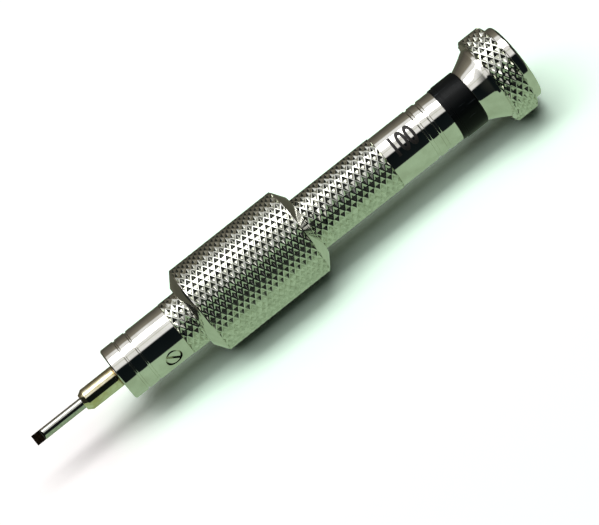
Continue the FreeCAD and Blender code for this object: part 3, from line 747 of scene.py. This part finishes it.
def make_floor():
    """A pale table top. The camera sees it white, with a cool shadow painted pink by the blade; metal
    sees a painted reflection of it, a grey-green glow, dark in front and behind.
    """
    shape = bmesh.new()
    bmesh.ops.create_grid(shape, x_segments=1, y_segments=1, size=TABLE_HALF_SIZE)
    floor = finished("floor", shape)
    material, tree, _ = new_material("pale_table_top")
    tree.nodes.clear()
    rays = add(tree, "ShaderNodeLightPath").outputs
    place = add(tree, "ShaderNodeSeparateXYZ",
                Vector=add(tree, "ShaderNodeTexCoord").outputs["Object"]).outputs
    toward_head = add(tree, "ShaderNodeMapRange", Value=place["X"],
                      From_Min=station(BLADE_SHADOW_SPAN[0]),
                      From_Max=station(BLADE_SHADOW_SPAN[1])).outputs[0]
    # By the blade the table's colour turns pink, which shows only in its shadow: a painted pink light.
    seen = add(tree, "ShaderNodeMix", {"data_type": "RGBA"}, i0=toward_head,
               i6=PINK_SHADOW_TINT_BY_BLADE, i7=FLOOR_SEEN)
    colour = add(tree, "ShaderNodeMix", {"data_type": "RGBA"}, i0=rays["Is Camera Ray"],
                 i6=linear("#8E968A"), i7=seen.outputs[2])
    lit = add(tree, "ShaderNodeBsdfDiffuse", Color=colour.outputs[2])
    # Mirror rays from the camera see a painted reflection of the table: a glow, dark in front,
    # grey-green, then dark behind.
    across = add(tree, "ShaderNodeMapRange", Value=place["Y"], From_Min=PAINTED_REFLECTION_SPAN[0],
                 From_Max=PAINTED_REFLECTION_SPAN[1]).outputs[0]
    painted_reflection = ramp(tree, across, [(0, "#141A1B"), (0.33, "#A3BE9B"), (0.86, "#A3BE9B"),
                                   (0.93, "#5C5A4A"), (1.0, "#4A483C")])
    painted_glow = add(tree, "ShaderNodeEmission", Color=painted_reflection, Strength=1.0)
    lit_with_painted_glow = add(tree, "ShaderNodeMixShader", i0=PAINTED_GLOW_SHARE, i1=lit.outputs[0], i2=painted_glow.outputs[0])
    straight = add(tree, "ShaderNodeMath", {"operation": "LESS_THAN"}, i0=rays["Diffuse Depth"],
                   i1=0.5)
    mirror = add(tree, "ShaderNodeMath", {"operation": "MULTIPLY"}, i0=rays["Is Glossy Ray"],
                 i1=straight.outputs[0])
    surface = add(tree, "ShaderNodeMixShader", i0=mirror.outputs[0], i1=lit.outputs[0],
                  i2=lit_with_painted_glow.outputs[0])
    add(tree, "ShaderNodeOutputMaterial", Surface=surface.outputs[0])
    floor.data.materials.append(material)


def make_world():
    """A long soft light overhead, a dim room behind and a dark one in front."""
    world = bpy.data.worlds.new("studio")
    bpy.context.scene.world = world
    world.use_nodes = True
    tree = world.node_tree
    tree.nodes.clear()
    way = add(tree, "ShaderNodeTexCoord").outputs["Generated"]
    parts = add(tree, "ShaderNodeSeparateXYZ", Vector=way).outputs
    forward = add(tree, "ShaderNodeMath", {"operation": "MULTIPLY"}, i0=parts["Y"], i1=-1.0)
    angle = add(tree, "ShaderNodeMath", {"operation": "ARCTAN2"}, i0=parts["Z"],
                i1=forward.outputs[0])
    turn = add(tree, "ShaderNodeMapRange", Value=angle.outputs[0], From_Min=0.0,
               From_Max=math.pi).outputs[0]
    # Degrees round the tool's axis, from straight in front over the top to straight behind.
    stops = [
        (0, "#141A1B"), (55, "#0E1416"), (60, "#FFFFFF"), (74.5, "#FFFFFF"), (76.5, "#C9CDB4"),
        (78.5, "#FFFFFF"), (131, "#FFFFFF"), (137, "#948F82"), (156, "#746F64"), (176, "#5C5850"),
    ]
    room = ramp(tree, turn, [(degrees / 180, colour) for degrees, colour in stops])
    toward_head = add(tree, "ShaderNodeMapRange", Value=parts["X"],
                      From_Min=DARK_TOWARD_HEAD[0], From_Max=DARK_TOWARD_HEAD[1])
    toward_tip = add(tree, "ShaderNodeMapRange", Value=parts["X"],
                     From_Min=DARK_TOWARD_TIP[0], From_Max=DARK_TOWARD_TIP[1])
    ends = add(tree, "ShaderNodeMath", {"operation": "MAXIMUM"}, i0=toward_head.outputs[0],
               i1=toward_tip.outputs[0])
    whole = add(tree, "ShaderNodeMix", {"data_type": "RGBA"}, i0=ends.outputs[0], i6=room,
                i7=linear("#2B2E2B"))
    lit = add(tree, "ShaderNodeBackground", Color=whole.outputs[2], Strength=WORLD_LEVEL)
    white = add(tree, "ShaderNodeBackground", Color=(1.0, 1.0, 1.0, 1.0), Strength=1.0)
    seen = add(tree, "ShaderNodeLightPath").outputs["Is Camera Ray"]
    mixed = add(tree, "ShaderNodeMixShader", i0=seen, i1=lit.outputs[0], i2=white.outputs[0])
    add(tree, "ShaderNodeOutputWorld", Surface=mixed.outputs[0])


def make_key_light():
    """A long tube light overhead, a little behind the tool, which draws the shadow."""
    data = bpy.data.lights.new("tube_light", "AREA")
    data.shape = "RECTANGLE"
    data.size = LAMP_LENGTH
    data.size_y = LAMP_WIDTH
    data.energy = LAMP_POWER
    light = bpy.data.objects.new("tube_light", data)
    light.location = (0, LAMP_BEHIND, LAMP_HEIGHT)
    light.rotation_euler = (-math.atan2(LAMP_BEHIND, LAMP_HEIGHT), 0, 0)
    bpy.context.scene.collection.objects.link(light)


def make_camera():
    """The camera looks down at 42 degrees from abreast of the nose, rolled to lay the tool aslant."""
    rise = math.radians(42.0)
    roll = math.radians(38.4)
    distance = 0.5
    abreast = 28.3
    aim_station = 53.0
    aim_below = 4.1
    toward = Vector((0, -math.cos(rise), math.sin(rise)))
    upward = Vector((0, math.sin(rise), math.cos(rise)))
    eye = Vector((station(abreast), 0, AXIS_Z)) + toward * distance
    aim = Vector((station(aim_station), 0, AXIS_Z)) - upward * aim_below * MM
    forward = (aim - eye).normalized()
    along = Vector((1, 0, 0))
    along = (along - forward * along.dot(forward)).normalized()
    across = (-forward).cross(along)
    right = along * math.cos(roll) - across * math.sin(roll)
    up = along * math.sin(roll) + across * math.cos(roll)
    data = bpy.data.cameras.new("camera")
    data.lens = 180.0
    data.sensor_width = 36.0
    data.clip_start = 0.01
    data.clip_end = 20.0
    camera = bpy.data.objects.new("camera", data)
    turn = Matrix((right, up, -forward)).transposed().to_4x4()
    camera.matrix_world = Matrix.Translation(eye) @ turn
    bpy.context.scene.collection.objects.link(camera)
    bpy.context.scene.camera = camera


def dress(finishes):
    """Gives each CAD node that still shows a finish by its slot in the record."""
    for part in frame["record"]["subparts"]:
        node = frame["nodes"][part["node"]]
        node.data.materials.clear()
        node.data.materials.append(finishes[part["material_slot"]])


make_camera()
make_world()
make_key_light()
make_floor()

plate = nickel_plate()
knurled_plate = knurled_nickel()
brass = holder_brass()
plastic = black_ring()
finishes = {
    "nickel_plate": plate,
    "blade_steel": blade_steel(),
    "ground_steel": metal("ground_steel", "#C9C8C2", "#A5A49E", (0.14, 0.26), 0.2, 0.1),
    "spring_steel": metal("oil_tempered_spring_steel", "#8E8C88", "#5E5B57", (0.2, 0.35), 0.3, 0.1),
    "holder_brass": brass,
    "bearing_bronze": metal("bearing_bronze", "#B98A4E", "#97693A", (0.22, 0.36), 0.2, 0.15),
    "friction_lining": friction_lining(),
    "black_ring": plastic,
}
dress(finishes)

knurling = knurl_tree()
make_barrel(knurling, plate, knurled_plate)
make_grip_sleeve(knurling, plate, knurled_plate)
make_head(knurling, plate, knurled_plate)
make_ring(plastic)
make_cap(plate)
make_holder(brass)
make_nose_screw(plate)
make_numerals(numeral_paint())

bpy.context.scene.view_settings.view_transform = "Standard"
bpy.context.view_layer.update()
